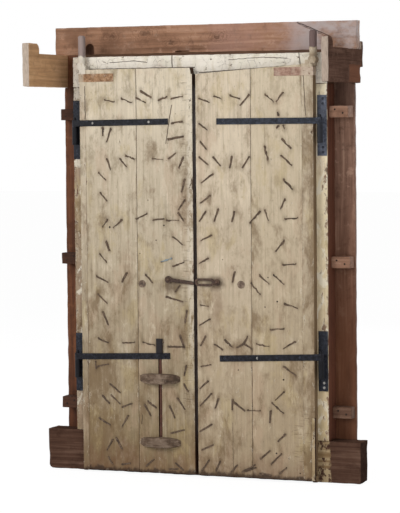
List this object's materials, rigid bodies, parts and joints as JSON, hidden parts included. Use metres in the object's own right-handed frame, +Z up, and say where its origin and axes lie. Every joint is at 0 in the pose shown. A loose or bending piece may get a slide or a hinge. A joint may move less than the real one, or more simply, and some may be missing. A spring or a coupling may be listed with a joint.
{
  "type": "double-leaf plank door with frame",
  "caption": "Old painted plank double door in a timber frame with horned sill, wall-tie arms, strap hinges, clinched nails, hasp and drop bolt; the leaves swing out into the room.",
  "frame": {"origin": "middle of the sill's underside, midway between its room face and its facade face", "axes": "+X to the right seen from the room side, -Y towards the room, +Z up"},
  "size_m": [1.496, 0.47, 2.005],
  "materials": {
    "dark_timber": "bare old teak, dark",
    "brown_timber": "bare old teak, worn",
    "cream_paint": "flaking cream paint on teak",
    "bare_timber": "oiled teak",
    "grey_timber": "weathered grey",
    "black_steel": "black paint, satin",
    "rusty_iron": "rusted wrought iron",
    "painted_iron": "rust and old paint"
  },
  "bodies": {
    "frame": {"sill": "dark_timber", "left_post": "cream_paint", "right_post": "cream_paint", "head": "cream_paint", "lintel_board": "brown_timber", "left_facing_board": "dark_timber", "right_facing_board": "dark_timber", "left_wall_arm": "brown_timber", "right_wall_arm": "dark_timber", "left_cleat_low": "brown_timber", "left_cleat_mid": "brown_timber", "left_cleat_top": "brown_timber", "right_cleat_low": "brown_timber", "right_cleat_mid": "brown_timber", "right_cleat_top": "brown_timber", "cleat_nails": "rusty_iron", "left_upper_plate": "black_steel", "left_lower_plate": "black_steel", "right_upper_plate": "black_steel", "right_lower_plate": "black_steel", "plate_screws": "black_steel"},
    "left_leaf": {"left_hanging_stile": "cream_paint", "left_outer_plank": "cream_paint", "left_inner_plank": "cream_paint", "left_framing_hinge_stile": "bare_timber", "left_framing_meeting_stile": "bare_timber", "left_framing_rails": "bare_timber", "left_nails": "rusty_iron", "left_pivot_band": "painted_iron", "left_upper_strap": "black_steel", "left_lower_strap": "black_steel", "left_strap_screws": "black_steel", "hasp_stud": "rusty_iron", "left_rove": "rusty_iron", "upper_bolt_guide": "grey_timber", "lower_bolt_guide": "grey_timber"},
    "right_leaf": {"right_hanging_stile": "cream_paint", "right_outer_plank": "cream_paint", "right_inner_plank": "cream_paint", "right_repair_strip": "cream_paint", "right_framing_hinge_stile": "bare_timber", "right_framing_meeting_stile": "bare_timber", "right_framing_rails": "bare_timber", "right_nails": "rusty_iron", "right_pivot_band": "painted_iron", "right_upper_strap": "black_steel", "right_lower_strap": "black_steel", "right_strap_screws": "black_steel", "link_stud": "rusty_iron", "right_rove": "rusty_iron"},
    "hasp": {"hasp_bar": "rusty_iron"},
    "link": {"chain_link": "rusty_iron"},
    "bolt": {"drop_bolt": "rusty_iron"}
  },
  "joints": [
    {"name": "left_leaf_swing", "type": "hinge", "parent": "frame", "child": "left_leaf", "pos_m": [-0.581, -0.084, 0.9], "axis": [0, 0, -1], "range_deg": [0, 95]},
    {"name": "right_leaf_swing", "type": "hinge", "parent": "frame", "child": "right_leaf", "pos_m": [0.581, -0.084, 0.9], "axis": [0, 0, 1], "range_deg": [0, 95]},
    {"name": "hasp_swing", "type": "hinge", "parent": "left_leaf", "child": "hasp", "pos_m": [-0.125, -0.1, 0.877], "axis": [0, -1, 0], "range_deg": [0, 120]},
    {"name": "link_swing", "type": "hinge", "parent": "right_leaf", "child": "link", "pos_m": [0.105, -0.1, 0.868], "axis": [0, 1, 0], "range_deg": [0, 120]},
    {"name": "bolt_slide", "type": "slide", "parent": "left_leaf", "child": "bolt", "axis": [0, 0, 1], "range_m": [0, 0.04]}
  ]
}
